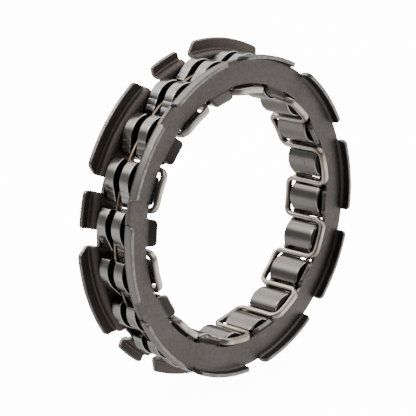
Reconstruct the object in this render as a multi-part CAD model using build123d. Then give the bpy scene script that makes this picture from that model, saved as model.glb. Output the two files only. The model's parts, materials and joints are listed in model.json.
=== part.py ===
from build123d import *
import os
from math import atan2, cos, degrees, radians, sin, sqrt, tan

# Sprag clutch insert: a ring of separately sprung sprags between two pressed
# side plates, tied together by a square-wave spring and circled by a garter ring.
# The ring axis is Y, the front side plate is towards -Y and +Z is up.
# Clock angles are in degrees, from +X towards +Z. Lengths are in millimetres.

# Driving dimensions

# the two races that the insert runs between
inner_race_diameter = 47.66
sprag_space = 8.33            # radial height from the inner race to the outer race

# the ring as a whole
sprag_count = 20
first_sprag_angle = 14
cage_width = 8.8              # outside faces of the two side plates
rim_rise = 1.85               # of the front lips and the rear flanges, beyond these faces
sheet = 0.8                   # thickness of both side plates

# sprags
sprag_width = 6.2             # along the ring axis
outer_cam_radius = 4.5
outer_cam_offset = -0.95      # of the cam's centre from the sprag's own radius line
outer_cam_relief = 0.14       # free crest to the outer race
inner_cam_radius = 4.5
inner_cam_offset = 0.2
inner_cam_relief = 0.02
head_reach = 4.2              # widest point, towards smaller clock angles
tail_reach = 3.95             # widest point, towards larger clock angles
tail_slope = 33               # fall of the flat behind the crest, in degrees
foot_head_reach = 2.5         # ends of the inner cam, either side of the radius line
foot_tail_reach = 2.95
foot_front = 3.7              # the foot is longer at the front, from the middle of the ring
foot_height = 1.0             # of this longer part, above the inner race
foot_corner = 0.8
flank_head_reach = 3.9        # flanks between the two cams, above the waist for the wire
flank_tail_reach = 3.8
flank_height = 3.1            # above the inner race
waist_reach = 3.3
waist_height = 2.5
sprag_corner = 0.4            # rounding of the long corners
sprag_slot_width = 1.6        # groove around the outer side, for the garter ring
sprag_slot_depth = 3.6
oil_groove_reaches = (2.0, 3.05)   # two fine grooves across the tail
oil_groove_radius = 0.14

# garter ring that lies in the sprags' grooves
garter_width = 0.6
garter_height = 1.0
garter_floor_gap = 0.9        # from the bottom of the sprags' grooves

# square-wave spring wire
wire_width = 1.0
wire_height = 1.4             # along the radius
wire_inner_gap = 0.6          # from the inner race to the wire
wire_front = 5.5              # outer faces of the loops, from the middle of the ring
wire_corner = 1.1             # inside radius of its corners

# both side plates
plate_bore_gap = 0.15         # from the wire to the plates' bores
notch_depth = 0.35            # recess of the bore behind each loop
notch_margin = 0.3            # play at each end of a loop

# inner tabs of the front side plate
tab_span = 11.5               # in degrees
tab_inset = 0.23              # corner of its bend, inside the plate's bore
tab_lean = 46                 # from the ring axis, in degrees
tab_reach = 0.9               # rise above the plate's outer face
tab_bend = 1.2                # bend radii are those of the middle of the sheet
tab_corner = 0.9

# outer lips of the front side plate
lip_count = 10
first_lip_angle = 6
lip_span = 27.8
lip_relief = 0.11             # from the outer race
lip_bend = 1.0
lip_corner = 0.9
front_rim_step = 0.65         # the plate's edge between the lips, below their outside

# outer flanges of the rear side plate
flange_pairs = 6              # one wide and one narrow flange in each pair
first_wide_angle = 80.2
wide_span = 31                # at the rim
wide_rise = 2.7               # of the rim, above the middle of the flange's neck
wide_taper = 30               # slope of each end, in degrees from the radius
first_narrow_angle = 109.9
narrow_span = 12
narrow_rise = 2.1
narrow_taper = 8
flange_neck_radius = 31.5     # middle of the sheet where it stands along the axis
flange_bend = 0.75
flange_lean = 8               # from the radius, back towards the front plate
flange_corner = 0.5

# Sizes that follow

inner_race_radius = inner_race_diameter / 2
outer_race_radius = inner_race_radius + sprag_space
pitch_angle = 360 / sprag_count
plate_middle = cage_width / 2 - sheet / 2
wire_inner_radius = inner_race_radius + wire_inner_gap
wire_outer_radius = wire_inner_radius + wire_height
wire_middle_radius = wire_inner_radius + wire_height / 2
plate_bore_radius = wire_outer_radius + plate_bore_gap
crest_radius = outer_race_radius - outer_cam_relief
groove_floor_radius = crest_radius - sprag_slot_depth
lip_radius = outer_race_radius - lip_relief
plate_reach = cage_width / 2 + rim_rise


def clock(angle):
    """Turn about the ring axis to a clock angle."""
    return Rot(0, -angle, 0)


def swept(section, angle, span):
    """Revolve a section about the ring axis, with its middle at a clock angle."""
    return clock(angle + span / 2) * revolve(section, Axis.Y, span)


def box_section(inner, outer, low, high):
    """Rectangular section between two radii and two places along the axis."""
    corners = [(inner, low), (outer, low), (outer, high), (inner, high)]
    return make_face(Polyline(*corners, close=True))


def ring(inner, outer, low, high):
    return revolve(box_section(inner, outer, low, high), Axis.Y, 360)


def sector(inner, outer, low, high, angle, span):
    return swept(box_section(inner, outer, low, high), angle, span)


def offset_path(path, bends, distance):
    """A bent line moved sideways, with the radius that each bend then has."""
    steps = [(after - before).normalized() for before, after in zip(path, path[1:])]
    sides = [step.rotate(Axis.Z, 90) for step in steps]
    points = [path[0] + sides[0] * distance]
    radii = []
    for corner, bend, before, after in zip(path[1:-1], bends, sides, sides[1:]):
        points.append(corner + (before + after) * (distance / (1 + before.dot(after))))
        turn = 1 if before.cross(after).Z > 0 else -1
        radii.append(bend - turn * distance)
    points.append(path[-1] + sides[-1] * distance)
    return points, radii


def sheet_section(path, bends):
    """Section of bent sheet along the middle line (radius, place along the axis)."""
    path = [Vector(*point) for point in path]
    left, left_radii = offset_path(path, bends, sheet / 2)
    right, right_radii = offset_path(path, bends, -sheet / 2)
    outline = Curve() + [
        FilletPolyline(*left, radius=left_radii),
        Line(left[-1], right[-1]),
        FilletPolyline(*right, radius=right_radii),
        Line(right[0], left[0]),
    ]
    return make_face(outline)


def round_tip(piece, tip, radius):
    """Round the two corners at the free edge of a tab; tip is the sheet's middle there."""
    corners = []
    for edge in piece.edges():
        centre = edge.center()
        across = sqrt(centre.X ** 2 + centre.Z ** 2)
        at_tip = abs(across - tip[0]) < sheet / 4 and abs(centre.Y - tip[1]) < sheet / 4
        if at_tip and abs(edge.length - sheet) < sheet / 100:
            corners.append(edge)
    return fillet(corners, radius)


def folded(path, bends, span, corner):
    """One tab of bent sheet, centred at clock angle zero."""
    piece = swept(sheet_section(path, bends), 0, span)
    return round_tip(piece, path[-1], corner)


def inner_tab():
    """Inner tab of the front side plate, turned out between two loops of the wire."""
    rise = tab_reach + sheet / 2
    root = plate_bore_radius - tab_inset
    tip = root - rise * tan(radians(tab_lean))
    path = [
        (root + 2 * tab_bend, -plate_middle),
        (root, -plate_middle),
        (tip, -plate_middle - rise),
    ]
    return folded(path, [tab_bend], tab_span, tab_corner)


def plate_disc(side, rim, first_notch):
    """Flat ring of a side plate, with its bore recessed behind the wire's loops."""
    low, high = sorted((side * (plate_middle - sheet / 2), side * (plate_middle + sheet / 2)))
    disc = ring(plate_bore_radius, rim, low, high)
    loop_span = pitch_angle + (wire_width + 2 * notch_margin) / radians(wire_middle_radius)
    notch = sector(
        wire_inner_radius, plate_bore_radius + notch_depth, low - sheet, high + sheet, 0, loop_span
    )
    step = 2 * pitch_angle
    notches = [clock(first_notch + step * place) * notch for place in range(sprag_count // 2)]
    return disc - notches


def placed(piece, first, count):
    return [clock(first + 360 / count * place) * piece for place in range(count)]


def front_side_plate():
    lip_middle = lip_radius - sheet / 2
    path = [
        (lip_middle - 2 * lip_bend, -plate_middle),
        (lip_middle, -plate_middle),
        (lip_middle, -plate_reach),
    ]
    lip = folded(path, [lip_bend], lip_span, lip_corner)
    flat_rim = lip_middle - lip_bend
    gap_rim = lip_radius - front_rim_step
    gap_span = 360 / lip_count - lip_span
    bridge = sector(
        flat_rim - sheet,
        gap_rim,
        -plate_middle - sheet / 2,
        -plate_middle + sheet / 2,
        0,
        gap_span,
    )
    disc = plate_disc(-1, flat_rim, first_sprag_angle)
    lips = placed(lip, first_lip_angle, lip_count)
    bridges = placed(bridge, first_lip_angle + 180 / lip_count, lip_count)
    tabs = placed(inner_tab(), first_sprag_angle + pitch_angle, sprag_count // 2)
    return disc + lips + bridges + tabs


def polar(radius, angle):
    return Vector(radius * cos(radians(angle)), radius * sin(radians(angle)))


def end_cut(span, rise, taper):
    """Wedge that slopes one end of a flange, and the half span that its root then has."""
    reach = flange_neck_radius + rise
    shoulder = flange_neck_radius + sheet / 2
    rim = polar(reach, span / 2)
    outwards = polar(1, span / 2 - taper)
    root = rim - outwards * ((reach - shoulder) / cos(radians(taper)))
    half = degrees(atan2(root.Y, root.X))
    beyond = half + taper / 4
    outer = reach + sheet
    corners = [root, rim + outwards * sheet, polar(outer, beyond), polar(root.length, beyond)]
    face = Plane.XZ * make_face(Polyline(*corners, close=True))
    return extrude(face, 2 * plate_reach, both=True), half


def rear_flange(span, rise, taper):
    """Outer flange: out along the axis, then up to its rim, narrowing towards the rim."""
    crown = plate_reach - sheet / 2
    lean = radians(flange_lean)
    bend_corner = crown - flange_bend + flange_bend * tan(radians(45) + lean / 2)
    rim_fall = rise * tan(lean)
    path = [
        (flange_neck_radius - 2 * flange_bend, plate_middle),
        (flange_neck_radius, plate_middle),
        (flange_neck_radius, bend_corner),
        (flange_neck_radius + rise, bend_corner - rim_fall),
    ]
    wedge, half = end_cut(span, rise, taper)
    piece = swept(sheet_section(path, [flange_bend, flange_bend]), 0, 2 * half)
    piece -= [wedge, mirror(wedge, about=Plane.XY)]
    return round_tip(piece, path[-1], flange_corner)


def rear_side_plate():
    disc = plate_disc(1, flange_neck_radius - flange_bend, first_sprag_angle + pitch_angle)
    wide_flange = rear_flange(wide_span, wide_rise, wide_taper)
    narrow_flange = rear_flange(narrow_span, narrow_rise, narrow_taper)
    wide = placed(wide_flange, first_wide_angle, flange_pairs)
    narrow = placed(narrow_flange, first_narrow_angle, flange_pairs)
    return disc + wide + narrow


def radial_edges(piece, length, place):
    """Edges of a given length that lie along the radius at a place along the axis."""
    found = []
    for edge in piece.edges():
        if abs(edge.length - length) < 1e-3 and abs(edge.center().Y - place) < 1e-3:
            found.append(edge)
    return found


def meander_spring():
    """Square-wave wire: runs between the sprags, loops in front of and behind them."""
    opening = pitch_angle - wire_width / radians(wire_middle_radius)
    inner = wire_inner_radius - wire_width
    outer = wire_outer_radius + wire_width
    loop_inside = wire_front - wire_width
    gap = sector(inner, outer, -loop_inside, wire_front + wire_width, 0, opening)
    gap = fillet(radial_edges(gap, outer - inner, -loop_inside), wire_corner)
    gaps = placed(gap, first_sprag_angle, sprag_count // 2)
    turned = Rot(0, -first_sprag_angle - pitch_angle, 0) * Rot(180, 0, 0) * gap
    gaps += placed(turned, 0, sprag_count // 2)
    wire = ring(wire_inner_radius, wire_outer_radius, -wire_front, wire_front) - gaps
    corners = []
    for end in (-wire_front, wire_front):
        corners += radial_edges(wire, wire_height, end)
    return fillet(corners, wire_corner + wire_width)


def garter_ring():
    floor = groove_floor_radius + garter_floor_gap
    return ring(floor, floor + garter_height, -garter_width / 2, garter_width / 2)


def sprag_section():
    """Section across a sprag at clock angle zero: X is the radius, Y the clock direction."""
    outer_centre = Vector(crest_radius - outer_cam_radius, outer_cam_offset)
    head_rise = sqrt(outer_cam_radius ** 2 - (head_reach + outer_cam_offset) ** 2)
    head = Vector(outer_centre.X + head_rise, -head_reach)
    crest = outer_centre + Vector(outer_cam_radius, 0)
    slope = radians(tail_slope)
    shoulder = outer_centre + Vector(cos(slope), sin(slope)) * outer_cam_radius
    fall = Vector(-sin(slope), cos(slope)) / cos(slope)
    tail = shoulder + fall * (tail_reach - shoulder.Y)
    inner_centre = Vector(inner_race_radius + inner_cam_relief + inner_cam_radius, inner_cam_offset)
    foot = inner_centre - Vector(inner_cam_radius, 0)
    toe, heel = [foot_end(inner_centre, reach) for reach in (foot_tail_reach, -foot_head_reach)]
    flank = inner_race_radius + flank_height
    waist = inner_race_radius + waist_height
    tail_side = [tail, Vector(flank, flank_tail_reach), Vector(waist, waist_reach), toe]
    head_side = [heel, Vector(waist, -waist_reach), Vector(flank, -flank_head_reach), head]
    outline = Curve() + [
        ThreePointArc(head, crest, shoulder),
        Line(shoulder, tail),
        Polyline(*tail_side),
        ThreePointArc(toe, foot, heel),
        Polyline(*head_side),
    ]
    face = make_face(outline)
    ends = tail_side + head_side
    sharp = [spot for spot in face.vertices() if min((Vector(spot) - end).length for end in ends) < 1e-3]
    face = fillet(sharp, sprag_corner)
    for reach in oil_groove_reaches:
        middle = shoulder + fall * (reach - shoulder.Y)
        face -= Pos(middle) * Circle(oil_groove_radius)
    return face


def foot_end(centre, reach):
    """Point of the inner cam at a distance from the sprag's radius line."""
    rise = sqrt(inner_cam_radius ** 2 - (reach - centre.Y) ** 2)
    return Vector(centre.X - rise, reach)


def sprag_foot(section):
    """Longer part of the foot, reaching in below the bore of the front side plate."""
    middle = (foot_tail_reach - foot_head_reach) / 2
    span = foot_tail_reach + foot_head_reach + sprag_corner
    place = Plane(origin=(inner_race_radius, 0, middle), x_dir=(0, 0, 1), z_dir=(1, 0, 0))
    block = extrude(place * RectangleRounded(span, 2 * foot_front, foot_corner), foot_height)
    return extrude(Plane.XZ * section, foot_front) & block


def sprag():
    """One sprag at clock angle zero, with the groove for the garter ring."""
    section = sprag_section()
    body = extrude(Plane.XZ * section, sprag_width / 2, both=True) + sprag_foot(section)
    groove = sector(
        groove_floor_radius,
        outer_race_radius + sprag_space,
        -sprag_slot_width / 2,
        sprag_slot_width / 2,
        0,
        2 * pitch_angle,
    )
    return body - groove


if __name__ == "__main__":
    os.makedirs("parts", exist_ok=True)
    blank = sprag()
    nodes = {
        "front_side_plate": front_side_plate(),
        "rear_side_plate": rear_side_plate(),
        "meander_spring": meander_spring(),
        "garter_ring": garter_ring(),
    }
    for number in range(sprag_count):
        angle = first_sprag_angle + pitch_angle * number
        nodes[f"sprag_{number + 1:02d}"] = clock(angle) * blank
    for name, node in nodes.items():
        export_step(node, f"parts/{name}.step")
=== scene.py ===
import json
import math

import bmesh
import bpy
from mathutils import Matrix, Vector


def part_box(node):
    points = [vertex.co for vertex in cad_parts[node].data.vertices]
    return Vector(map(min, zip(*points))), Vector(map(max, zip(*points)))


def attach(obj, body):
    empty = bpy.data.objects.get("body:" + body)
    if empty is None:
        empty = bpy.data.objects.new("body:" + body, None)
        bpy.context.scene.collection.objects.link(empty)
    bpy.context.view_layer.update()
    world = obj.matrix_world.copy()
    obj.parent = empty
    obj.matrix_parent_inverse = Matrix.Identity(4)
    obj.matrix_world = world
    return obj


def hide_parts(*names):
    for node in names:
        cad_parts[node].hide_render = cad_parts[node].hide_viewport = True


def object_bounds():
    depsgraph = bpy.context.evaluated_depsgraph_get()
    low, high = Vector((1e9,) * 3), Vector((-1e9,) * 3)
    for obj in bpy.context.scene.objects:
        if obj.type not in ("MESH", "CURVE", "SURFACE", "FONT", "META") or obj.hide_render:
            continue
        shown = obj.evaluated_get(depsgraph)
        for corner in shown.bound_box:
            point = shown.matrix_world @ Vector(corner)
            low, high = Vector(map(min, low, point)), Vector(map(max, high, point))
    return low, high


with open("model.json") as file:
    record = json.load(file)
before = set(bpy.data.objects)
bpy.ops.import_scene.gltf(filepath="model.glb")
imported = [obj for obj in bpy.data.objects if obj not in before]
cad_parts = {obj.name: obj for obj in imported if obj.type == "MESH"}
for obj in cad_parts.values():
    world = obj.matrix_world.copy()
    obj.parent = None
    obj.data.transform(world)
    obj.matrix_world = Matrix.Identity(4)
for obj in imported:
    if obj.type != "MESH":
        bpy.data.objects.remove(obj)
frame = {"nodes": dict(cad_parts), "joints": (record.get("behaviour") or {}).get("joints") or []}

# Looks of a caged sprag clutch. The ring axis is Y, +Z is up, all lengths are in metres.
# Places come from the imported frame; the sizes below are those that the frame doesn't say.
# Clock angles are in degrees about the ring axis, from +X towards +Z.

MM = 0.001
MERGE = 0.002 * MM              # points nearer than this are one point
TINY = 1e-8                     # measures that differ by less are the same
SHARP = math.radians(50)        # edges bent by more than this are rounded
CAD_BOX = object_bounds()
SPRAGS = sorted(name for name in frame["nodes"] if name.startswith("sprag_"))
PITCH = 360 / len(SPRAGS)
LOOPS = len(SPRAGS) // 2        # of the wire, at the front and at the rear
FIRST_SPRAG_ANGLE = 14.0

# camera: where it looks, from which side, how far and how high
CAMERA_TARGET = Vector((-4.3, 0.73, 1.64)) * MM
CAMERA_TURN = 46.54
CAMERA_FALL = 14.67
CAMERA_DISTANCE = 317.0 * MM
CAMERA_LENS = 139.6
SENSOR_WIDTH = 36.0

# pressed side plates
SHEET = 0.8 * MM
SHEET_ROUNDING = 0.1 * MM
NOTCH_DEPTH = 0.35 * MM
NOTCH_HALF_SPAN = 10.8
TAB_SPAN = 11.5
TAB_INSET = 0.23 * MM           # corner of a tab's bend, inside the bore
TAB_LEAN = 46.0                 # from the ring axis
TAB_RISE = 0.9 * MM
TAB_BEND = 1.2 * MM
TAB_CORNER = 0.9 * MM
LIP_COUNT = 10
FIRST_LIP_ANGLE = 6.0
LIP_SPAN = 27.8
LIP_BEND = 1.0 * MM
LIP_CORNER = 0.9 * MM
FRONT_RIM_STEP = 0.65 * MM
FLANGE_COUNT = 6                # wide ones, and as many narrow ones
FLANGE_NECK = 31.5 * MM
FLANGE_BEND = 0.75 * MM
FLANGE_LEAN = 8.0
FLANGE_CORNER = 0.5 * MM
WIDE_FLANGE = (80.2, 31.0, 2.7 * MM, 30.0)       # first clock angle, span, rise, taper
NARROW_FLANGE = (109.9, 12.0, 2.1 * MM, 8.0)

# tone of the lips or flanges, the radii between which it comes in, and the plate's dullness; on
# the front plate the lighter lip tone is a painted highlight
FRONT_SHEEN_AND_DULLNESS = ((0.38, 0.36, 0.34), 31.75 * MM, 32.0 * MM, 0.36)
REAR_FINISH = ((0.20, 0.165, 0.14), 31.0 * MM, 31.6 * MM, 0.5)

# sprags
SPRAG_ROUNDING = 0.15 * MM
SLOT_HALF_WIDTH = 0.8 * MM
SLOT_FLOOR = 28.42 * MM
FLANK_RADIUS = 27.3 * MM        # above it a sprag's outline is convex
FOOT_TOP = 24.83 * MM
FOOT_BACK = 0.5 * MM            # of the foot, past the sprag's rear end
FOOT_STEPS = 6                  # round its corners
GROOVE_PLACES = (2.0 * MM, 3.05 * MM)
GROOVE_HALF_WIDTH = 0.14 * MM
GROOVE_DEPTH = 0.12 * MM
GROOVE_END = 0.22 * MM

# square-wave wire and garter ring
WIRE_WIDTH = 1.0 * MM
WIRE_ROUNDING = 0.38 * MM
WIRE_CORNER = 1.6 * MM          # of the wire's middle line
WIRE_STEP = 0.45 * MM
GARTER_ROUNDING = 0.14 * MM
GARTER_STEPS = 240

# studio: the floor, the room's brightness as (share of the way up, strength), and in it one
# dark side and one soft screen, each with the cosines from its middle at which it starts and
# is full
FLOOR_HALF = 4.0
FLOOR_GLOW = 14.0
ROOM_HEIGHTS = [
    (0.0, 0.3),
    (0.15, 0.34),
    (0.27, 0.5),
    (0.41, 0.46),
    (0.5, 0.16),
    (0.7, 0.12),
    (0.8, 1.1),
    (0.93, 0.85),
    (1.0, 0.4),
]
ROOM_STRENGTH = 1.8
DARK_SIDE = (-0.68, -0.66, 0.33)
DARK_COSINES = (0.2, 0.85)
DARK_SHARE = 0.2
SCREEN_SIDE = (0.92, -0.35, -0.28)
SCREEN_COSINES = (0.7, 1.0)
SCREEN_STRENGTH = 0.95
KEY_PLACE = (-0.5, 0.35, 0.75)
KEY_SIZE = (0.4, 0.3)
KEY_POWER = 2.0


# ---------------------------------------------------------------- materials

class Nodes:
    """Short calls for building one material's node tree."""

    def __init__(self, name):
        self.material = bpy.data.materials.new(name)
        self.material.use_nodes = True
        self.tree = self.material.node_tree
        self.shader = self.tree.nodes["Principled BSDF"]
        self.place = self.tree.nodes.new("ShaderNodeTexCoord").outputs["Object"]

    def link(self, source, target):
        self.tree.links.new(source, target)

    def stretched(self, scale):
        node = self.tree.nodes.new("ShaderNodeMapping")
        node.inputs["Scale"].default_value = scale
        self.link(self.place, node.inputs["Vector"])
        return node.outputs["Vector"]

    def noise(self, scale, detail=4.0, roughness=0.55, stretch=(1, 1, 1)):
        node = self.tree.nodes.new("ShaderNodeTexNoise")
        node.inputs["Scale"].default_value = scale
        node.inputs["Detail"].default_value = detail
        node.inputs["Roughness"].default_value = roughness
        self.link(self.stretched(stretch), node.inputs["Vector"])
        return node.outputs["Fac"]

    def radius(self):
        """Distance from the ring axis."""
        node = self.tree.nodes.new("ShaderNodeVectorMath")
        node.operation = "LENGTH"
        self.link(self.stretched((1, 0, 1)), node.inputs[0])
        return node.outputs["Value"]

    def ramp(self, factor, stops):
        node = self.tree.nodes.new("ShaderNodeValToRGB")
        ramp = node.color_ramp
        while len(ramp.elements) < len(stops):
            ramp.elements.new(0.5)
        for element, (position, color) in zip(ramp.elements, stops):
            element.position = position
            element.color = (*color, 1)
        self.link(factor, node.inputs["Fac"])
        return node.outputs["Color"]

    def grey(self, factor, low, high, start=0.3, end=0.7):
        """Spread a noise value over a range of numbers."""
        node = self.tree.nodes.new("ShaderNodeMapRange")
        node.inputs["From Min"].default_value = start
        node.inputs["From Max"].default_value = end
        node.inputs["To Min"].default_value = low
        node.inputs["To Max"].default_value = high
        self.link(factor, node.inputs["Value"])
        return node.outputs["Result"]

    def mix(self, factor, first, color):
        """Change a color socket into one color as the factor rises."""
        node = self.tree.nodes.new("ShaderNodeMix")
        node.data_type = "RGBA"
        self.link(factor, node.inputs["Factor"])
        self.link(first, node.inputs["A"])
        node.inputs["B"].default_value = (*color, 1)
        return node.outputs["Result"]

    def color(self, socket):
        self.link(socket, self.shader.inputs["Base Color"])

    def roughness(self, socket):
        self.link(socket, self.shader.inputs["Roughness"])

    def bump(self, heights):
        """Bumps as (height socket, distance in metres), one on the other."""
        normal = None
        for height, distance in heights:
            node = self.tree.nodes.new("ShaderNodeBump")
            node.inputs["Distance"].default_value = distance
            node.inputs["Strength"].default_value = 1.0
            self.link(height, node.inputs["Height"])
            if normal:
                self.link(normal, node.inputs["Normal"])
            normal = node.outputs["Normal"]
        self.link(normal, self.shader.inputs["Normal"])


def sheet_steel(name, rim, start, stop, dullness):
    """Dark satin side plate with fine grain and a few specks, and another tone at its rim, which
    on the front plate is a painted highlight on the lips.
    """
    nodes = Nodes(name)
    nodes.shader.inputs["Metallic"].default_value = 1.0
    broad = nodes.noise(90, detail=3)
    grain = nodes.noise(2600, detail=5, roughness=0.7)
    specks = nodes.noise(900, detail=2, roughness=0.4)
    base = nodes.ramp(broad, [(0.35, (0.130, 0.117, 0.107)), (0.65, (0.165, 0.150, 0.139))])
    base = nodes.mix(nodes.grey(grain, 0.0, 0.5), base, (0.09, 0.081, 0.074))
    base = nodes.mix(nodes.grey(specks, 0.0, 0.8, 0.72, 0.80), base, (0.40, 0.37, 0.34))
    # rim tone: brown on the rear flanges, a painted highlight on the front lips
    base = nodes.mix(nodes.grey(nodes.radius(), 0.0, 0.75, start, stop), base, rim)
    nodes.color(base)
    nodes.roughness(nodes.grey(grain, dullness, dullness + 0.14))
    nodes.bump([(grain, 0.012 * MM), (broad, 0.05 * MM)])
    return nodes.material


def sheared_edge_and_highlight():
    """Sheared edge of the sheet, scratched through its thickness: brighter partly as bare metal,
    partly as a painted highlight on the rounded edges.
    """
    nodes = Nodes("sheared_edge_and_highlight")
    nodes.shader.inputs["Metallic"].default_value = 1.0
    broad = nodes.noise(240, detail=4)
    lines = nodes.noise(1500, detail=3, stretch=(1, 0.15, 1))
    base = nodes.ramp(broad, [(0.3, (0.24, 0.225, 0.21)), (0.7, (0.40, 0.38, 0.36))])
    base = nodes.mix(nodes.grey(lines, 0.0, 0.5), base, (0.17, 0.157, 0.145))
    nodes.color(base)
    nodes.roughness(nodes.grey(lines, 0.32, 0.5))
    nodes.bump([(lines, 0.01 * MM)])
    return nodes.material


def ground_steel():
    """Bright sprag steel, ground along the ring axis, stained and darker at the feet."""
    nodes = Nodes("ground_steel")
    nodes.shader.inputs["Metallic"].default_value = 1.0
    lines = nodes.noise(2400, detail=4, roughness=0.65, stretch=(1, 0.06, 1))
    bands = nodes.noise(750, detail=3, stretch=(1, 0.05, 1))
    patches = nodes.noise(130, detail=3)
    broad = nodes.noise(320, detail=3)
    stains = nodes.noise(620, detail=3, roughness=0.6)
    base = nodes.ramp(broad, [(0.3, (0.46, 0.445, 0.42)), (0.7, (0.60, 0.585, 0.56))])
    base = nodes.mix(nodes.grey(patches, 0.0, 0.7, 0.48, 0.62), base, (0.42, 0.36, 0.30))
    base = nodes.mix(nodes.grey(bands, 0.0, 0.5, 0.4, 0.65), base, (0.27, 0.25, 0.23))
    base = nodes.mix(nodes.grey(lines, 0.0, 0.6), base, (0.30, 0.28, 0.26))
    feet = nodes.grey(nodes.radius(), 0.8, 0.0, 25 * MM, 26 * MM)
    base = nodes.mix(feet, base, (0.22, 0.20, 0.18))
    base = nodes.mix(nodes.grey(stains, 0.0, 0.85, 0.685, 0.74), base, (0.10, 0.06, 0.045))
    nodes.color(base)
    nodes.roughness(nodes.grey(lines, 0.16, 0.26))
    nodes.bump([(lines, 0.006 * MM), (broad, 0.01 * MM)])
    return nodes.material


def painted_shade_ends():
    """Ends and slots of the sprags, painted near black: painted shade, since these faces lie in
    shadow.
    """
    nodes = Nodes("painted_shade_ends")
    nodes.shader.inputs["Metallic"].default_value = 1.0
    broad = nodes.noise(420, detail=4)
    fine = nodes.noise(2400, detail=4)
    base = nodes.ramp(broad, [(0.3, (0.035, 0.032, 0.030)), (0.7, (0.07, 0.063, 0.058))])
    nodes.color(nodes.mix(nodes.grey(fine, 0.0, 0.5), base, (0.02, 0.018, 0.017)))
    nodes.roughness(nodes.grey(fine, 0.4, 0.5))
    nodes.bump([(fine, 0.002 * MM)])
    return nodes.material


def sprag_edge_highlight():
    """Chamfers of the sprags, painted bright as a painted highlight."""
    nodes = Nodes("sprag_edge_highlight")
    nodes.shader.inputs["Metallic"].default_value = 1.0
    broad = nodes.noise(500, detail=4)
    nodes.color(nodes.ramp(broad, [(0.3, (0.62, 0.61, 0.59)), (0.7, (0.86, 0.85, 0.83))]))
    nodes.roughness(nodes.grey(broad, 0.18, 0.3))
    nodes.bump([(broad, 0.004 * MM)])
    return nodes.material


def spring_wire():
    """Smooth, slightly warm wire, with drawn lines and darker patches."""
    nodes = Nodes("spring_wire")
    nodes.shader.inputs["Metallic"].default_value = 1.0
    broad = nodes.noise(150, detail=2)
    fine = nodes.noise(1900, detail=3)
    tones = [(0.33, (0.42, 0.35, 0.27)), (0.42, (0.64, 0.58, 0.51)), (0.7, (0.72, 0.67, 0.60))]
    base = nodes.ramp(broad, tones)
    base = nodes.mix(nodes.grey(fine, 0.0, 0.15), base, (0.45, 0.37, 0.28))
    nodes.color(base)
    nodes.roughness(nodes.grey(fine, 0.3, 0.36))
    nodes.bump([(fine, 0.0003 * MM)])
    return nodes.material


def straw_steel():
    """Tempered strip of the garter ring, straw to brown."""
    nodes = Nodes("straw_steel")
    nodes.shader.inputs["Metallic"].default_value = 1.0
    broad = nodes.noise(300, detail=4)
    fine = nodes.noise(2200, detail=4)
    base = nodes.ramp(broad, [(0.3, (0.30, 0.22, 0.14)), (0.7, (0.52, 0.43, 0.31))])
    nodes.color(nodes.mix(nodes.grey(fine, 0.0, 0.4), base, (0.20, 0.15, 0.10)))
    nodes.roughness(nodes.grey(fine, 0.26, 0.4))
    nodes.bump([(fine, 0.005 * MM)])
    return nodes.material


def pale_floor():
    """Plain white sweep, lit from within like a light table so that it stays white."""
    nodes = Nodes("pale_floor")
    broad = nodes.noise(6, detail=2)
    white = nodes.ramp(broad, [(0.3, (0.93, 0.93, 0.93)), (0.7, (0.96, 0.96, 0.96))])
    nodes.color(white)
    nodes.link(white, nodes.shader.inputs["Emission Color"])
    nodes.shader.inputs["Emission Strength"].default_value = FLOOR_GLOW
    nodes.shader.inputs["Roughness"].default_value = 0.9
    nodes.shader.inputs["Specular IOR Level"].default_value = 0.1
    return nodes.material


# ------------------------------------------------------------------- shapes

def polar(radius, angle, along):
    """Point at a radius, a clock angle and a place along the ring axis."""
    turn = math.radians(angle)
    return Vector((radius * math.cos(turn), along, radius * math.sin(turn)))


def turned(angle):
    """The same angle between -180 and 180 degrees."""
    return (angle + 180) % 360 - 180


def around(first, count):
    return [first + 360 / count * place for place in range(count)]


def reach(node):
    """Smallest and largest radius of a CAD node."""
    vertices = frame["nodes"][node].data.vertices
    radii = [math.hypot(vertex.co.x, vertex.co.z) for vertex in vertices]
    return min(radii), max(radii)


BORE_RADIUS = reach("rear_side_plate")[0]


def piece_of(work, name, materials, body, node):
    """Turn a bmesh into a piece that rides on a body and stands for a CAD node."""
    bmesh.ops.remove_doubles(work, verts=work.verts, dist=MERGE)
    bmesh.ops.recalc_face_normals(work, faces=work.faces)
    for face in work.faces:
        face.smooth = True
    mesh = bpy.data.meshes.new(name)
    work.to_mesh(mesh)
    work.free()
    for material in materials:
        mesh.materials.append(material)
    piece = bpy.data.objects.new(name, mesh)
    bpy.context.scene.collection.objects.link(piece)
    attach(piece, body)
    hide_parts(node)
    return piece


def round_edges(piece, width, segments, limit):
    """Round the sharp edges or those with a weight, and keep flat faces flat in the shading."""
    bevel = piece.modifiers.new("rounding", "BEVEL")
    bevel.width = width
    bevel.segments = segments
    bevel.limit_method = limit
    bevel.angle_limit = SHARP
    bevel.use_clamp_overlap = False
    # rounded edges take the last material: on the sprags a painted highlight, on the plates bare
    # sheared metal with a painted highlight
    bevel.material = len(piece.data.materials) - 1
    weighted = piece.modifiers.new("shading", "WEIGHTED_NORMAL")
    weighted.weight = 60
    weighted.keep_sharp = False


# -------------------------------------------------------------- side plates

def bent_line(points, bends, steps=6):
    """Middle line of bent sheet as (radius, along), with its corners as arcs."""
    points = [Vector(point) for point in points]
    line = [points[0]]
    for before, corner, after, bend in zip(points, points[1:], points[2:], bends):
        inwards = (before - corner).normalized()
        outwards = (after - corner).normalized()
        half = inwards.angle(outwards) / 2
        centre = corner + (inwards + outwards).normalized() * (bend / math.sin(half))
        first = corner + inwards * (bend / math.tan(half)) - centre
        last = corner + outwards * (bend / math.tan(half)) - centre
        start = math.atan2(first.y, first.x)
        sweep = math.atan2(first.cross(last), first.dot(last))
        for step in range(steps + 1):
            angle = start + sweep * step / steps
            line.append(centre + Vector((math.cos(angle), math.sin(angle))) * bend)
    line.append(points[-1])
    return line


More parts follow.
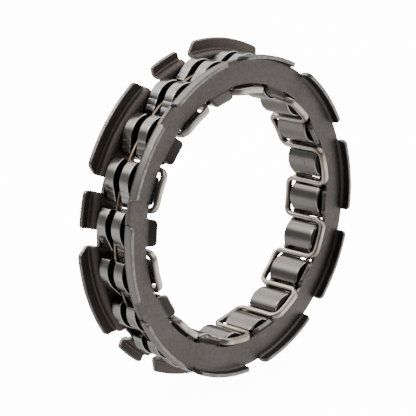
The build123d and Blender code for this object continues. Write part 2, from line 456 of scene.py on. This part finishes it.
class Tab:
    """One bent tab of a side plate: where it stands, how it bends and how its ends slope."""

    def __init__(self, middle, span, line, corner, taper=0.0, shoulder=0.0):
        self.middle = middle
        self.line = line
        self.corner = corner
        self.rim = line[-1][0]
        self.half = span / 2
        self.edge = self.rim * math.radians(self.half)
        self.taper = taper
        if taper:
            heading = math.radians(self.half - taper)
            self.way = Vector((math.cos(heading), math.sin(heading)))
            turn = math.radians(self.half)
            tip = Vector((math.cos(turn), math.sin(turn))) * self.rim
            self.root = tip - self.way * ((self.rim - shoulder) / math.cos(math.radians(taper)))
            self.half = math.degrees(math.atan2(self.root.y, self.root.x))

    def columns(self):
        """Clock angles that sample the tab's ends and rounded corners."""
        steps = 4
        turns = [math.pi / 2 * step / steps for step in range(steps + 1)]
        shares = [1 - self.corner * (1 - math.cos(turn)) / self.edge for turn in turns]
        return [self.middle + side * self.half * share for side in (-1, 1) for share in shares]

    def covers(self, angle):
        return abs(turned(angle - self.middle)) < self.half

    def half_at(self, radius):
        """Half span at a radius: it shrinks towards the rim where the ends slope."""
        if not self.taper or radius <= self.root.length:
            return self.half
        lead = self.root.dot(self.way)
        step = math.sqrt(lead ** 2 - self.root.length_squared + radius ** 2) - lead
        point = self.root + self.way * step
        return math.degrees(math.atan2(point.y, point.x))

    def drop(self, share):
        """How far a rounded corner stays below the free edge."""
        distance = self.edge * (1 - abs(share))
        if distance >= self.corner:
            return 0.0
        return self.corner - math.sqrt(max(0.0, self.corner ** 2 - (self.corner - distance) ** 2))

    def points(self, angle):
        """Points of the middle line at a clock angle."""
        share = turned(angle - self.middle) / self.half
        last = (self.line[-1] - self.line[-2]).normalized()
        line = [*self.line[:-1], self.line[-1] - last * self.drop(share)]
        places = [(radius, self.middle + share * self.half_at(radius)) for radius, _ in line]
        return [polar(*place, along) for place, (_, along) in zip(places, line)]


def sheet_columns(breaks, step=1.5):
    """Clock angles of a plate's columns: its breaks, and even steps between them."""
    breaks = sorted({round(angle % 360, 5) for angle in breaks})
    columns = []
    for angle, following in zip(breaks, breaks[1:] + [breaks[0] + 360]):
        count = max(1, math.ceil((following - angle) / step))
        columns += [angle + (following - angle) * place / count for place in range(count)]
    return columns


def add_strip(work, first, second):
    """Faces between two lines of points."""
    left = [work.verts.new(point) for point in first]
    right = [work.verts.new(point) for point in second]
    for place in range(len(left) - 1):
        work.faces.new((left[place], left[place + 1], right[place + 1], right[place]))


def plate_surface(breaks, lines_at):
    """Middle surface of a side plate; lines_at gives the lines along one side of a cell."""
    work = bmesh.new()
    columns = sheet_columns(breaks)
    for start, stop in zip(columns, columns[1:] + [columns[0] + 360]):
        middle = (start + stop) / 2
        for first, second in zip(lines_at(start, middle), lines_at(stop, middle)):
            add_strip(work, first, second)
    return work


def flat_line(inner, outer, angle, level, parts=1):
    radii = [inner + (outer - inner) * part / parts for part in range(parts + 1)]
    return [polar(radius, angle, level) for radius in radii]


def pressed(work, name, node, materials):
    """Give a plate's middle surface its thickness and rounded edges."""
    piece = piece_of(work, name, materials, "cage", node)
    solid = piece.modifiers.new("thickness", "SOLIDIFY")
    solid.thickness = SHEET
    solid.offset = 0
    solid.use_even_offset = True
    solid.material_offset_rim = 1
    round_edges(piece, SHEET_ROUNDING, 3, "ANGLE")


def front_plate(materials):
    low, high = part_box("front_side_plate")
    level = high.y - SHEET / 2
    outside = reach("front_side_plate")[1]
    lip_radius = outside - SHEET / 2
    flat_rim = lip_radius - LIP_BEND
    gap_rim = outside - FRONT_RIM_STEP
    corners = [(flat_rim, level), (lip_radius, level), (lip_radius, low.y)]
    lip_line = bent_line(corners, [LIP_BEND])[1:]
    root = BORE_RADIUS - TAB_INSET
    rise = TAB_RISE + SHEET / 2
    notch = BORE_RADIUS + NOTCH_DEPTH
    tip = root - rise * math.tan(math.radians(TAB_LEAN))
    tab_line = bent_line([(notch, level), (root, level), (tip, level - rise)], [TAB_BEND])
    lip_angles = around(FIRST_LIP_ANGLE, LIP_COUNT)
    tab_angles = around(FIRST_SPRAG_ANGLE + PITCH, LOOPS)
    lips = [Tab(angle, LIP_SPAN, lip_line, LIP_CORNER) for angle in lip_angles]
    tabs = [Tab(angle, TAB_SPAN, tab_line, TAB_CORNER) for angle in tab_angles]

    def lines_at(angle, middle):
        lines = [flat_line(notch, flat_rim, angle, level, 3)]
        lips_here = [lip for lip in lips if lip.covers(middle)]
        if lips_here:
            lines.append(lips_here[0].points(angle))
        else:
            lines.append(flat_line(flat_rim, gap_rim, angle, level))
        return lines + [tab.points(angle) for tab in tabs if tab.covers(middle)]

    breaks = [angle for tab in lips + tabs for angle in tab.columns()]
    pressed(plate_surface(breaks, lines_at), "front_plate", "front_side_plate", materials)


def rear_flanges(high, level, flat_rim):
    """All wide and narrow flanges of the rear side plate."""
    lean = math.radians(FLANGE_LEAN)
    past_bend = FLANGE_BEND * math.tan(math.pi / 4 + lean / 2)
    bend_corner = high.y - SHEET / 2 - FLANGE_BEND + past_bend
    shoulder = FLANGE_NECK + SHEET / 2
    flanges = []
    for first, span, rise, taper in (WIDE_FLANGE, NARROW_FLANGE):
        corners = [
            (flat_rim, level),
            (FLANGE_NECK, level),
            (FLANGE_NECK, bend_corner),
            (FLANGE_NECK + rise, bend_corner - rise * math.tan(lean)),
        ]
        line = bent_line(corners, [FLANGE_BEND, FLANGE_BEND])[1:]
        for angle in around(first, FLANGE_COUNT):
            flanges.append(Tab(angle, span, line, FLANGE_CORNER, taper, shoulder))
    return flanges


def rear_plate(materials):
    low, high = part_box("rear_side_plate")
    level = low.y + SHEET / 2
    flat_rim = FLANGE_NECK - FLANGE_BEND
    notch = BORE_RADIUS + NOTCH_DEPTH
    flanges = rear_flanges(high, level, flat_rim)
    loops = around(FIRST_SPRAG_ANGLE + PITCH, LOOPS)

    def lines_at(angle, middle):
        lines = [flat_line(notch, flat_rim, angle, level, 3)]
        if not any(abs(turned(middle - loop)) < NOTCH_HALF_SPAN for loop in loops):
            lines.append(flat_line(BORE_RADIUS, notch, angle, level))
        return lines + [flange.points(angle) for flange in flanges if flange.covers(middle)]

    breaks = [loop + side * NOTCH_HALF_SPAN for loop in loops for side in (-1, 1)]
    breaks += [angle for flange in flanges for angle in flange.columns()]
    pressed(plate_surface(breaks, lines_at), "rear_plate", "rear_side_plate", materials)


# ------------------------------------------------------------------- sprags

def joint_angle(node):
    joint = next(joint for joint in frame["joints"] if joint["child"] == node)
    return math.atan2(joint["pos_m"][2], joint["pos_m"][0])


def rear_outline(node):
    """Outline of a sprag's rear end, as (outwards, sideways) from the ring axis."""
    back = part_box(node)[1].y
    work = bmesh.new()
    work.from_mesh(frame["nodes"][node].data)
    bmesh.ops.remove_doubles(work, verts=work.verts, dist=MERGE)
    end_points = {corner for corner in work.verts if abs(corner.co.y - back) < 0.005 * MM}
    cap = {face for face in work.faces if end_points.issuperset(face.verts)}
    after = {}
    for face in cap:
        for loop in face.loops:
            if not set(loop.edge.link_faces) <= cap:
                after[loop.vert] = loop.link_loop_next.vert
    # always the same start, clear of the grooves, so that every run gives the same outline
    corner = min(after, key=lambda vert: vert.co.length)
    turn = Matrix.Rotation(joint_angle(node), 3, "Y")
    outline = []
    for _ in after:
        point = turn @ corner.co
        outline.append(Vector((point.x, point.z)))
        corner = after[corner]
    work.free()
    pairs = zip(outline, outline[1:] + outline[:1])
    area = sum(point.cross(following) for point, following in pairs)
    return outline if area > 0 else outline[::-1]


def without_grooves(outline):
    """Drop the points of the fine grooves, where the outline bends inwards above its flanks."""
    kept = list(outline)
    place = 0
    while place < len(kept):
        before, point, after = kept[place - 1], kept[place], kept[(place + 1) % len(kept)]
        high = min(before.x, point.x, after.x) > FLANK_RADIUS
        if high and (point - before).cross(after - point) < -1e-13:
            del kept[place]
            place = max(0, place - 2)
        else:
            place += 1
    return kept


def with_crossings(outline, measure):
    """Add a point on each edge where a measure changes sign; also returns these points."""
    longer, added = [], []
    for point, following in zip(outline, outline[1:] + outline[:1]):
        longer.append(point)
        here, there = measure(point), measure(following)
        if here * there < 0:
            added.append(point.lerp(following, here / (here - there)))
            longer.append(added[-1])
    return longer, added


def stretch(outline, first, last):
    """Points of a closed outline from one point on to another."""
    start = outline.index(first)
    line = outline[start:] + outline[:start]
    return line[: line.index(last) + 1]


def arc_between(first, last, steps=8):
    """Points from first to last round the ring axis."""
    sweep = math.atan2(first.cross(last), first.dot(last))
    middle = [Matrix.Rotation(sweep * step / steps, 2) @ first for step in range(1, steps)]
    return [first, *middle, last]


def sprag_outline():
    """Outline with points where the slot, the fine grooves and the long foot begin."""
    outline = without_grooves(rear_outline(SPRAGS[0]))
    for place in GROOVE_PLACES:
        for offset in (-GROOVE_HALF_WIDTH, 0, GROOVE_HALF_WIDTH):
            outline, _ = with_crossings(outline, lambda point: point.y - place - offset)
    outline, slot_ends = with_crossings(outline, lambda point: point.length - SLOT_FLOOR)
    outline, foot_ends = with_crossings(outline, lambda point: point.x - FOOT_TOP)
    slot_ends.sort(key=lambda point: point.y)
    foot_ends.sort(key=lambda point: point.y)
    return outline, slot_ends, foot_ends


def add_face(work, points, along):
    return work.faces.new([work.verts.new((point.x, along, point.y)) for point in points])


def add_wall(work, points, near, far):
    """Wall along the ring axis over a line of points."""
    first = [(point.x, near, point.y) for point in points]
    second = [(point.x, far, point.y) for point in points]
    add_strip(work, first, second)


def sunk(points, along, half):
    """The same points with those in the fine grooves lowered, except at the ends of a land."""
    if min(abs(abs(along) - end) for end in (half, SLOT_HALF_WIDTH)) < GROOVE_END / 2:
        return points
    lowered = []
    for point in points:
        at_groove = any(abs(point.y - place) < TINY for place in GROOVE_PLACES)
        in_groove = at_groove and point.x > FLANK_RADIUS
        lowered.append(point - Vector((GROOVE_DEPTH, 0)) if in_groove else point)
    return lowered


def add_foot(work, sole, start, tip):
    """Part of the foot past one end, with its corners rounded in plan and its sole's edge too."""
    middle = (sole[0].y + sole[-1].y) / 2
    width = abs(sole[0].y - sole[-1].y) / 2
    depth = abs(tip - start)
    rows = []
    for step in range(FOOT_STEPS + 1):
        angle = math.pi / 2 * step / FOOT_STEPS
        share = 1 - depth * (1 - math.cos(angle)) / width
        past = max(0.0, SPRAG_ROUNDING - depth * (1 - math.sin(angle)))
        lift = SPRAG_ROUNDING - math.sqrt(SPRAG_ROUNDING ** 2 - past ** 2)
        along = start + (tip - start) * math.sin(angle)
        row = []
        for point in sole:
            row.append((min(point.x + lift, FOOT_TOP), along, middle + (point.y - middle) * share))
        rows.append(row + row[:1])
    for first, second in zip(rows, rows[1:]):
        add_strip(work, first, second)
    work.faces.new([work.verts.new(point) for point in rows[-1][:-1]])


def sprag_surface():
    """Closed surface of one sprag at clock angle zero."""
    low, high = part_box(SPRAGS[0])
    half = high.y
    outline, slot_ends, foot_ends = sprag_outline()
    crown = stretch(outline, slot_ends[0], slot_ends[1])
    below = stretch(outline, slot_ends[1], slot_ends[0])
    sole = stretch(outline, foot_ends[1], foot_ends[0])
    floor_line = arc_between(slot_ends[1], slot_ends[0])
    work = bmesh.new()
    rows = [SLOT_HALF_WIDTH, SLOT_HALF_WIDTH + GROOVE_END, half - GROOVE_END, half]
    for side in (-1, 1):
        for near, far in zip(rows, rows[1:]):
            near, far = side * near, side * far
            for line in (crown, below):
                first = [(point.x, near, point.y) for point in sunk(line, near, half)]
                second = [(point.x, far, point.y) for point in sunk(line, far, half)]
                add_strip(work, first, second)
        add_face(work, crown + floor_line[1:-1], side * SLOT_HALF_WIDTH)
        add_face(work, stretch(outline, foot_ends[0], foot_ends[1]), side * half)
    add_wall(work, below, -SLOT_HALF_WIDTH, SLOT_HALF_WIDTH)
    add_wall(work, floor_line, -SLOT_HALF_WIDTH, SLOT_HALF_WIDTH)
    add_foot(work, sole, -half, low.y)
    add_foot(work, sole, half, half + FOOT_BACK)
    bmesh.ops.remove_doubles(work, verts=work.verts, dist=MERGE)
    bmesh.ops.recalc_face_normals(work, faces=work.faces)
    mark_ends(work, (half, SLOT_HALF_WIDTH), (low.y, half + FOOT_BACK))
    return work


def mark_ends(work, places, tips):
    """Mark edges across the ring axis for the bevel; ends are painted dark as painted shade, and
    the foot's edges are painted bright as a painted highlight.
    """
    for face in work.faces:
        centre = face.calc_center_median()
        height = math.hypot(centre.x, centre.z)
        slot_floor = abs(centre.y) < SLOT_HALF_WIDTH and height > SLOT_FLOOR - 0.1 * MM
        # end faces and the slot floor take painted shade, a near-black colour where they lie in
        # shadow
        face.material_index = 1 if abs(face.normal.y) > 0.9 or slot_floor else 0
        # the foot's end edges take the painted highlight
        at_tip = min(abs(centre.y - tip) for tip in tips) < SPRAG_ROUNDING
        if at_tip and abs(face.normal.y) < 0.99:
            face.material_index = 2
    weights = work.edges.layers.float.new("bevel_weight_edge")
    for edge in work.edges:
        first, second = [abs(corner.co.y) for corner in edge.verts]
        at_place = any(abs(first - place) < 10 * TINY for place in places)
        level = abs(first - second) < TINY and at_place
        sharp = len(edge.link_faces) == 2 and abs(edge.calc_face_angle(0)) > SHARP
        if level and sharp:
            edge[weights] = 1.0


def sprags():
    # materials: ground steel, then painted shade for the ends and slots, then a painted highlight
    # for the chamfers
    materials = [ground_steel(), painted_shade_ends(), sprag_edge_highlight()]
    for node in SPRAGS:
        work = sprag_surface()
        turn = Matrix.Rotation(-joint_angle(node), 4, "Y")
        bmesh.ops.transform(work, matrix=turn, verts=work.verts)
        piece = piece_of(work, node + "_ground", materials, node, node)
        round_edges(piece, SPRAG_ROUNDING, 3, "WEIGHT")


# ----------------------------------------------------- wire and garter ring

def wire_route(radius, front):
    """Middle line of two pitches of wire, unrolled, as (place around, place along, heading)."""
    end = front - WIRE_WIDTH / 2
    half = radius * math.radians(PITCH) / 2
    corner = WIRE_CORNER
    quarter = math.pi / 2
    route = []

    def straight(start, stop, heading):
        count = max(2, round(math.dist(start, stop) / WIRE_STEP))
        for step in range(count):
            share = step / count
            route.append((*[a + (b - a) * share for a, b in zip(start, stop)], heading))

    def bend(centre, first, turn, steps=9):
        for step in range(steps):
            heading = first + turn * step / steps
            outwards = heading - math.copysign(quarter, turn)
            place = centre[0] + corner * math.cos(outwards)
            along = centre[1] + corner * math.sin(outwards)
            route.append((place, along, heading))

    straight((-half + corner, -end), (half - corner, -end), 0)
    bend((half - corner, -end + corner), 0, quarter)
    straight((half, -end + corner), (half, end - corner), quarter)
    bend((half + corner, end - corner), quarter, -quarter)
    straight((half + corner, end), (3 * half - corner, end), 0)
    bend((3 * half - corner, end - corner), 0, -quarter)
    straight((3 * half, end - corner), (3 * half, -end + corner), -quarter)
    bend((3 * half + corner, -end + corner), -quarter, quarter)
    return route


def rounded_section(width, height, radius, steps=4):
    """Points of a rounded rectangle, as (across, out)."""
    points = []
    for number, (right, top) in enumerate([(1, 1), (-1, 1), (-1, -1), (1, -1)]):
        centre = Vector((right * (width / 2 - radius), top * (height / 2 - radius)))
        for step in range(steps + 1):
            angle = math.pi / 2 * (number + step / steps)
            points.append(centre + Vector((math.cos(angle), math.sin(angle))) * radius)
    return points


def skin(loops):
    """Closed surface over loops of points that run once round the ring."""
    work = bmesh.new()
    loops = [[work.verts.new(point) for point in loop] for loop in loops]
    for loop, following in zip(loops, loops[1:] + loops[:1]):
        for place in range(len(loop)):
            last = (place + 1) % len(loop)
            work.faces.new((loop[place], loop[last], following[last], following[place]))
    return work


def meander_wire():
    """Square-wave wire with rounded edges, closed round the ring."""
    inner, outer = reach("meander_spring")
    radius = (inner + outer) / 2
    route = wire_route(radius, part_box("meander_spring")[1].y)
    section = rounded_section(WIRE_WIDTH, outer - inner, WIRE_ROUNDING)
    loops = []
    for start in around(FIRST_SPRAG_ANGLE, LOOPS):
        for place, along, heading in route:
            angle = start + math.degrees(place / radius)
            out = polar(1, angle, 0)
            forward = polar(1, angle + 90, 0)
            side = forward * -math.sin(heading) + Vector((0, math.cos(heading), 0))
            middle = out * radius + Vector((0, along, 0))
            loops.append([middle + side * across + out * height for across, height in section])
    materials = [spring_wire()]
    piece_of(skin(loops), "meander_wire", materials, "cage", "meander_spring")


def garter():
    inner, outer = reach("garter_ring")
    radius = (inner + outer) / 2
    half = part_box("garter_ring")[1].y
    section = rounded_section(2 * half, outer - inner, GARTER_ROUNDING)
    loops = []
    for angle in around(0, GARTER_STEPS):
        loops.append([polar(radius + height, angle, across) for across, height in section])
    piece_of(skin(loops), "garter_strip", [straw_steel()], "cage", "garter_ring")


def side_plates():
    """Both plates: the front one's lips are painted bright as a painted highlight, the rear one's
    flanges are brown.
    """
    # cut faces and rounded edges of both plates: bare sheared metal with a painted highlight
    edge = sheared_edge_and_highlight()
    front_plate([sheet_steel("front_sheet", *FRONT_SHEEN_AND_DULLNESS), edge])
    rear_plate([sheet_steel("rear_sheet", *REAR_FINISH), edge])


# -------------------------------------------------------------------- stage

def floor():
    work = bmesh.new()
    bmesh.ops.create_grid(work, x_segments=1, y_segments=1, size=FLOOR_HALF)
    mesh = bpy.data.meshes.new("floor")
    work.to_mesh(mesh)
    work.free()
    mesh.materials.append(pale_floor())
    piece = bpy.data.objects.new("floor", mesh)
    bpy.context.scene.collection.objects.link(piece)
    piece.location.z = CAD_BOX[0][2]
    piece.visible_glossy = False
    piece.visible_diffuse = False


def key_light():
    """Window light high at the camera's left, aimed at the middle of the ring."""
    light = bpy.data.lights.new("key", "AREA")
    light.shape = "RECTANGLE"
    light.size, light.size_y = KEY_SIZE
    light.energy = KEY_POWER
    lamp = bpy.data.objects.new("key", light)
    bpy.context.scene.collection.objects.link(lamp)
    lamp.location = KEY_PLACE
    lamp.rotation_euler = (-Vector(KEY_PLACE)).to_track_quat("-Z", "Y").to_euler()


def lobe(tree, place, towards, cosines, strengths):
    """Strength that changes smoothly from all round to a middle direction."""
    facing = tree.nodes.new("ShaderNodeVectorMath")
    facing.operation = "DOT_PRODUCT"
    facing.inputs[1].default_value = Vector(towards).normalized()
    tree.links.new(place, facing.inputs[0])
    spread = tree.nodes.new("ShaderNodeMapRange")
    spread.interpolation_type = "SMOOTHSTEP"
    for socket, value in zip(("From Min", "From Max", "To Min", "To Max"), (*cosines, *strengths)):
        spread.inputs[socket].default_value = value
    tree.links.new(facing.outputs["Value"], spread.inputs["Value"])
    return spread.outputs["Result"]


def bands(tree, place):
    """Brightness of the room by height: bright above, dark at mid height, grey below."""
    split = tree.nodes.new("ShaderNodeSeparateXYZ")
    tree.links.new(place, split.inputs["Vector"])
    height = tree.nodes.new("ShaderNodeMapRange")
    height.inputs["From Min"].default_value = -1
    tree.links.new(split.outputs["Z"], height.inputs["Value"])
    node = tree.nodes.new("ShaderNodeValToRGB")
    ramp = node.color_ramp
    ramp.interpolation = "EASE"
    while len(ramp.elements) < len(ROOM_HEIGHTS):
        ramp.elements.new(0.5)
    for element, (position, strength) in zip(ramp.elements, ROOM_HEIGHTS):
        element.position = position
        element.color = (strength, strength, strength, 1)
    tree.links.new(height.outputs["Result"], node.inputs["Fac"])
    return node.outputs["Color"]


def room():
    """World like a tent: bands by height, darker on the camera's side, with one soft screen."""
    world = bpy.data.worlds.new("studio")
    world.use_nodes = True
    tree = world.node_tree
    place = tree.nodes.new("ShaderNodeTexCoord").outputs["Generated"]
    shares = (ROOM_STRENGTH, ROOM_STRENGTH * DARK_SHARE)
    side = lobe(tree, place, DARK_SIDE, DARK_COSINES, shares)
    background = tree.nodes["Background"]
    tree.links.new(bands(tree, place), background.inputs["Color"])
    tree.links.new(side, background.inputs["Strength"])
    glow = lobe(tree, place, SCREEN_SIDE, SCREEN_COSINES, (0.0, SCREEN_STRENGTH))
    screen = tree.nodes.new("ShaderNodeBackground")
    tree.links.new(glow, screen.inputs["Strength"])
    both = tree.nodes.new("ShaderNodeAddShader")
    tree.links.new(background.outputs["Background"], both.inputs[0])
    tree.links.new(screen.outputs["Background"], both.inputs[1])
    tree.links.new(both.outputs["Shader"], tree.nodes["World Output"].inputs["Surface"])
    bpy.context.scene.world = world


def camera():
    data = bpy.data.cameras.new("camera")
    data.lens = CAMERA_LENS
    data.sensor_width = SENSOR_WIDTH
    data.clip_start = 0.01
    data.clip_end = 20
    turn = math.radians(CAMERA_TURN)
    fall = math.radians(CAMERA_FALL)
    level = math.cos(fall)
    forward = Vector((math.sin(turn) * level, math.cos(turn) * level, -math.sin(fall)))
    right = Vector((math.cos(turn), -math.sin(turn), 0))
    up = right.cross(forward)
    place = Matrix((right, up, -forward)).transposed().to_4x4()
    place.translation = CAMERA_TARGET - forward * CAMERA_DISTANCE
    piece = bpy.data.objects.new("camera", data)
    bpy.context.scene.collection.objects.link(piece)
    piece.matrix_world = place
    bpy.context.scene.camera = piece


side_plates()
meander_wire()
garter()
sprags()
floor()
key_light()
room()
camera()
